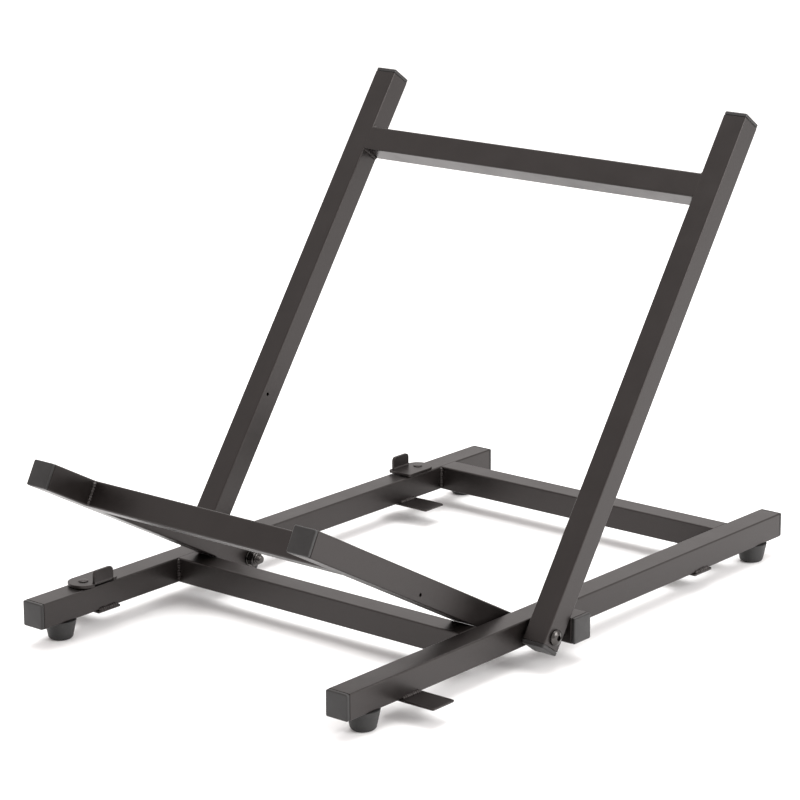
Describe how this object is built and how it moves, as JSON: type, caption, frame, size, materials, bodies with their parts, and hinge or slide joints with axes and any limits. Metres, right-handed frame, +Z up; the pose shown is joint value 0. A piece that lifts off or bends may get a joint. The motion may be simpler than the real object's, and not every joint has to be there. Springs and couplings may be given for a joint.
{
  "type": "instrument amplifier stand",
  "caption": "Fold-flat floor stand of black square tube: a base with rubber feet, a leaning backrest and a rising lip frame that tilt an instrument amplifier back.",
  "frame": {"origin": "on the floor, under the middle of the stand's bounding box as it stands in use", "axes": "+Z up, +X to the right seen from the front, -Y to the front where the lip is; the pivot line is along X"},
  "size_m": [0.473, 0.6942, 0.474],
  "materials": {
    "black_coat": "semi-gloss black powder coat with fine texture",
    "plug_plastic": "moulded black plastic, satin",
    "foot_rubber": "moulded black rubber",
    "black_fastener": "black zinc plated steel, glossy",
    "zinc_steel": "bright zinc plated steel",
    "spacer_nylon": "black nylon"
  },
  "bodies": {
    "base": {"foot_screw_washers": "zinc_steel", "foot_screws": "zinc_steel", "front_latch_rivet": "black_coat", "front_latch_washer": "spacer_nylon", "left_front_foot": "foot_rubber", "left_front_rest_plate": "black_coat", "left_inner_spacer": "spacer_nylon", "left_outer_spacer": "spacer_nylon", "left_pivot_bolt": "black_fastener", "left_pivot_nut": "black_fastener", "left_pivot_nut_washer": "black_fastener", "left_rail": "black_coat", "left_rail_front_plug": "plug_plastic", "left_rail_rear_plug": "plug_plastic", "left_rail_sleeve": "zinc_steel", "left_rear_foot": "foot_rubber", "left_rear_rest_plate": "black_coat", "left_stop_stub": "black_coat", "left_stop_stub_plug": "plug_plastic", "mid_crossbar": "black_coat", "rear_crossbar": "black_coat", "rear_latch_rivet": "black_coat", "rear_latch_washer": "spacer_nylon", "right_front_foot": "foot_rubber", "right_front_rest_plate": "black_coat", "right_inner_spacer": "spacer_nylon", "right_outer_spacer": "spacer_nylon", "right_pivot_bolt": "black_fastener", "right_pivot_nut": "black_fastener", "right_pivot_nut_washer": "black_fastener", "right_rail": "black_coat", "right_rail_front_plug": "plug_plastic", "right_rail_rear_plug": "plug_plastic", "right_rail_sleeve": "zinc_steel", "right_rear_foot": "foot_rubber", "right_rear_rest_plate": "black_coat", "right_stop_stub": "black_coat", "right_stop_stub_plug": "plug_plastic"},
    "backrest": {"backrest_crossbar": "black_coat", "left_upright": "black_coat", "left_upright_bottom_plug": "plug_plastic", "left_upright_sleeve": "zinc_steel", "left_upright_top_plug": "plug_plastic", "right_upright": "black_coat", "right_upright_bottom_plug": "plug_plastic", "right_upright_sleeve": "zinc_steel", "right_upright_top_plug": "plug_plastic"},
    "lip_frame": {"left_lip_arm": "black_coat", "left_lip_arm_front_plug": "plug_plastic", "left_lip_arm_rear_plug": "plug_plastic", "left_lip_arm_sleeve": "zinc_steel", "lip_crossbar": "black_coat", "right_lip_arm": "black_coat", "right_lip_arm_front_plug": "plug_plastic", "right_lip_arm_rear_plug": "plug_plastic", "right_lip_arm_sleeve": "zinc_steel"},
    "front_latch_body": {"front_latch": "black_coat"},
    "rear_latch_body": {"rear_latch": "black_coat"}
  },
  "joints": [
    {"name": "backrest_fold", "type": "hinge", "parent": "base", "child": "backrest", "pos_m": [0, -0.07343, 0.0318], "axis": [1, 0, 0], "range_deg": [0, 125]},
    {"name": "lip_fold", "type": "hinge", "parent": "base", "child": "lip_frame", "pos_m": [0, -0.07343, 0.0318], "axis": [-1, 0, 0], "range_deg": [0, 151.56]},
    {"name": "front_latch_swing", "type": "hinge", "parent": "base", "child": "front_latch_body", "pos_m": [-0.1875, -0.26343, 0.0449], "axis": [0, 0, 1], "range_deg": [0, 90]},
    {"name": "rear_latch_swing", "type": "hinge", "parent": "base", "child": "rear_latch_body", "pos_m": [-0.1875, 0.23507, 0.0449], "axis": [0, 0, 1], "range_deg": [0, 90]}
  ]
}
